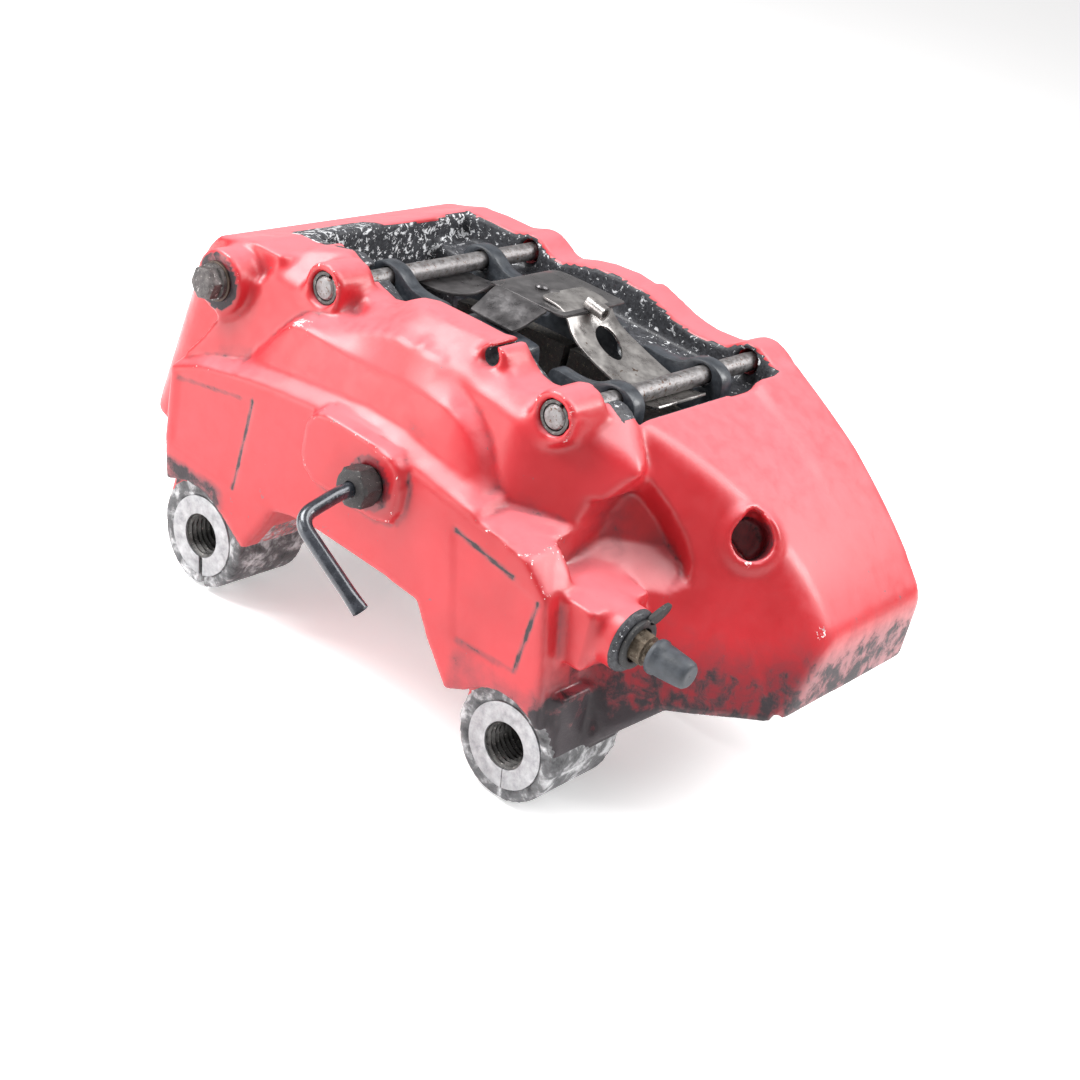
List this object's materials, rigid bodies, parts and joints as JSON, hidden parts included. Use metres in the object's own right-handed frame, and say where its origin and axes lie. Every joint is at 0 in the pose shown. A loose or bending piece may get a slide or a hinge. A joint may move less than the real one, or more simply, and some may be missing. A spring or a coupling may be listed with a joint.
{
  "type": "brake caliper",
  "caption": "Fixed opposed-piston disc brake caliper with a one-piece red casting, threaded mounting lugs, pads, retaining pins, spring and brake pipe stub.",
  "frame": {"origin": "midway between the two mounting lug bores, on the lugs' machined faces", "axes": "+X along the caliper towards the bleeder, +Y from the vehicle side to the wheel side along the disc's axle direction, +Z away from the axle"},
  "size_m": [0.26, 0.1809, 0.1303],
  "materials": {
    "casting": "glossy red paint, chipped to bare aluminium",
    "piston_steel": "ground",
    "seal_rubber": "matt",
    "boot_rubber": "dusty matt",
    "backing_plate": "worn dark blue-grey paint",
    "friction": "coarse friction composite",
    "pin_steel": "worn, lightly rusted",
    "spring_steel": "dark tempered",
    "spring_strip": "worn bright",
    "bleeder_steel": "dull plated, dusty",
    "cap_rubber": "matt blue-grey",
    "nut_steel": "dark, rusted",
    "pipe_coating": "black-blue coated",
    "plug_steel": "worn",
    "washer_copper": "dull copper"
  },
  "bodies": {
    "root": {"caliper_body": "casting", "piston_seal_inboard_left": "seal_rubber", "piston_seal_inboard_right": "seal_rubber", "piston_seal_outboard_left": "seal_rubber", "piston_seal_outboard_right": "seal_rubber", "dust_boot_inboard_left": "boot_rubber", "dust_boot_inboard_right": "boot_rubber", "dust_boot_outboard_left": "boot_rubber", "dust_boot_outboard_right": "boot_rubber", "pad_spring_cross": "spring_steel", "pad_spring_tongue": "spring_strip", "pad_spring_rivets": "spring_steel", "bleeder_cap_strap": "cap_rubber", "brake_pipe_stub": "pipe_coating", "passage_plug": "plug_steel", "passage_plug_washer": "washer_copper"},
    "inboard_pad": {"backing_plate_inboard": "backing_plate", "friction_pad_inboard": "friction"},
    "inboard_piston_left": {"piston_inboard_left": "piston_steel"},
    "inboard_piston_right": {"piston_inboard_right": "piston_steel"},
    "outboard_pad": {"backing_plate_outboard": "backing_plate", "friction_pad_outboard": "friction"},
    "outboard_piston_left": {"piston_outboard_left": "piston_steel"},
    "outboard_piston_right": {"piston_outboard_right": "piston_steel"},
    "pin_left": {"pad_pin_left": "pin_steel", "pin_collar_left": "pin_steel"},
    "pin_right": {"pad_pin_right": "pin_steel", "pin_collar_right": "pin_steel"},
    "bleeder": {"bleeder_screw": "bleeder_steel"},
    "cap": {"bleeder_cap": "cap_rubber"},
    "tube_nut": {"inlet_tube_nut": "nut_steel"}
  },
  "joints": [
    {"name": "inboard_pad_slide", "type": "slide", "parent": "root", "child": "inboard_pad", "axis": [0, 1, 0], "range_m": [-0.0025, 0.0045]},
    {"name": "outboard_pad_slide", "type": "slide", "parent": "root", "child": "outboard_pad", "axis": [0, -1, 0], "range_m": [-0.0025, 0.0045]},
    {"name": "inboard_piston_left_slide", "type": "slide", "parent": "root", "child": "inboard_piston_left", "axis": [0, 1, 0], "range_m": [-0.0025, 0.0045]},
    {"name": "inboard_piston_right_slide", "type": "slide", "parent": "root", "child": "inboard_piston_right", "axis": [0, 1, 0], "range_m": [-0.0025, 0.0045]},
    {"name": "outboard_piston_left_slide", "type": "slide", "parent": "root", "child": "outboard_piston_left", "axis": [0, -1, 0], "range_m": [-0.0025, 0.0045]},
    {"name": "outboard_piston_right_slide", "type": "slide", "parent": "root", "child": "outboard_piston_right", "axis": [0, -1, 0], "range_m": [-0.0025, 0.0045]},
    {"name": "pin_left_slide", "type": "slide", "parent": "root", "child": "pin_left", "axis": [0, -1, 0], "range_m": [0, 0.095]},
    {"name": "pin_right_slide", "type": "slide", "parent": "root", "child": "pin_right", "axis": [0, -1, 0], "range_m": [0, 0.095]},
    {"name": "bleeder_turn", "type": "hinge", "parent": "root", "child": "bleeder", "pos_m": [0.097, 0.0145, 0.0477], "axis": [1, 0, 0], "range_deg": [0, 180]},
    {"name": "cap_pull", "type": "slide", "parent": "bleeder", "child": "cap", "axis": [1, 0, 0], "range_m": [0, 0.025]},
    {"name": "tube_nut_turn", "type": "hinge", "parent": "root", "child": "tube_nut", "pos_m": [0.006, -0.0135, 0.061], "axis": [0, -1, 0], "range_deg": [0, 180]}
  ],
  "couplings": [
    {"joint": "outboard_pad_slide", "follows": "inboard_pad_slide", "ratio": 1},
    {"joint": "inboard_piston_left_slide", "follows": "inboard_pad_slide", "ratio": 1},
    {"joint": "inboard_piston_right_slide", "follows": "inboard_pad_slide", "ratio": 1},
    {"joint": "outboard_piston_left_slide", "follows": "inboard_pad_slide", "ratio": 1},
    {"joint": "outboard_piston_right_slide", "follows": "inboard_pad_slide", "ratio": 1}
  ]
}
